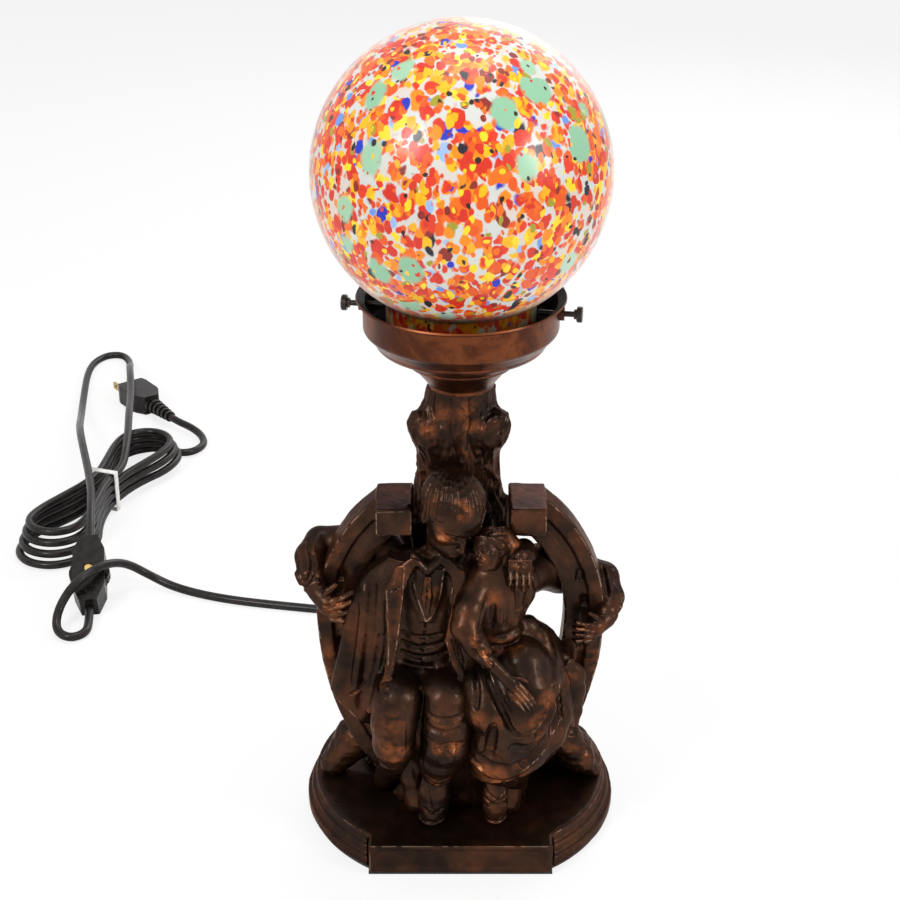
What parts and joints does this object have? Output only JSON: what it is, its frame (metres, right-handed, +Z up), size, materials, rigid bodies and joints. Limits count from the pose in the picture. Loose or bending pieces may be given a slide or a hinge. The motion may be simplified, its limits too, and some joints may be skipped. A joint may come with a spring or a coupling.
{
  "type": "table lamp",
  "caption": "Cast figural table lamp: seated couple in a horseshoe before a tree trunk that holds a glass globe, with a cord switch and plug.",
  "frame": {"origin": "on the globe's axis, at the underside of the felt", "axes": "+Z up along the lamp pipe; -Y is the front, the way the figures look; +X is to the right seen from the front"},
  "size_m": [0.4165, 0.7408, 0.4588],
  "materials": {
    "bronze_casting": "bronze-plated cast metal, brown patina with copper wear",
    "coppered_brass": "spun metal with a satin copper-brown finish",
    "felt": "dark green felt",
    "zinc_steel": "zinc-plated steel",
    "blackened_steel": "blackened steel",
    "spatter_glass": "white glass with red, orange, yellow, green and blue spatter",
    "brass": "plain brass",
    "blade_brass": "bright brass",
    "insulating_paper": "brown fibre paper",
    "moulded_insulator": "black phenolic",
    "bulb_metal": "bulb cap metal",
    "bulb_glass": "soft white bulb glass",
    "cord_plastic": "brown-black vinyl",
    "switch_plastic": "black moulded plastic",
    "white_tie": "white tie"
  },
  "bodies": {
    "lamp": {"base_plinth": "bronze_casting", "tree_trunk": "bronze_casting", "seat_stump": "bronze_casting", "horseshoe": "bronze_casting", "man_figure": "bronze_casting", "man_right_arm": "bronze_casting", "woman_figure": "bronze_casting", "woman_left_arm": "bronze_casting", "base_felt": "felt", "pipe_washer": "zinc_steel", "pipe_nut_lower": "zinc_steel", "pipe_nut_upper": "zinc_steel", "casting_screws": "zinc_steel", "lamp_pipe": "zinc_steel", "shade_holder": "coppered_brass", "globe_fitter": "spatter_glass", "globe": "spatter_glass", "socket_cap": "brass", "socket_shell": "brass", "socket_sleeve": "insulating_paper", "socket_insulator": "moulded_insulator", "socket_screw_shell": "brass", "socket_centre_contact": "brass", "terminal_screws": "brass", "bulb_cap": "bulb_metal", "bulb_contact": "bulb_metal", "bulb_glass": "bulb_glass", "cord_bushing": "cord_plastic", "inner_cord": "cord_plastic", "cord_lead": "cord_plastic", "cord_loop": "cord_plastic", "cord_hank": "cord_plastic", "cord_tail": "cord_plastic", "cord_tie": "white_tie", "switch_upper_half": "switch_plastic", "switch_lower_half": "switch_plastic", "switch_screw": "brass", "plug_body": "cord_plastic", "plug_blades": "blade_brass"},
    "thumbscrew_left": {"thumbscrew_left": "blackened_steel"},
    "thumbscrew_right": {"thumbscrew_right": "blackened_steel"},
    "thumbscrew_rear": {"thumbscrew_rear": "blackened_steel"},
    "switch_wheel": {"switch_wheel": "switch_plastic"}
  },
  "joints": [
    {"name": "thumbscrew_left_travel", "type": "slide", "parent": "lamp", "child": "thumbscrew_left", "axis": [-0.9903, 0.1392, 0], "range_m": [0, 0.008]},
    {"name": "thumbscrew_right_travel", "type": "slide", "parent": "lamp", "child": "thumbscrew_right", "axis": [0.9903, -0.1392, 0], "range_m": [0, 0.008]},
    {"name": "thumbscrew_rear_travel", "type": "slide", "parent": "lamp", "child": "thumbscrew_rear", "axis": [0.1392, 0.9903, 0], "range_m": [0, 0.008]},
    {"name": "switch_wheel_turn", "type": "hinge", "parent": "lamp", "child": "switch_wheel", "pos_m": [-0.25599, 0.23492, 0.01872], "axis": [0, -0.3549, 0.9349], "continuous": true}
  ]
}
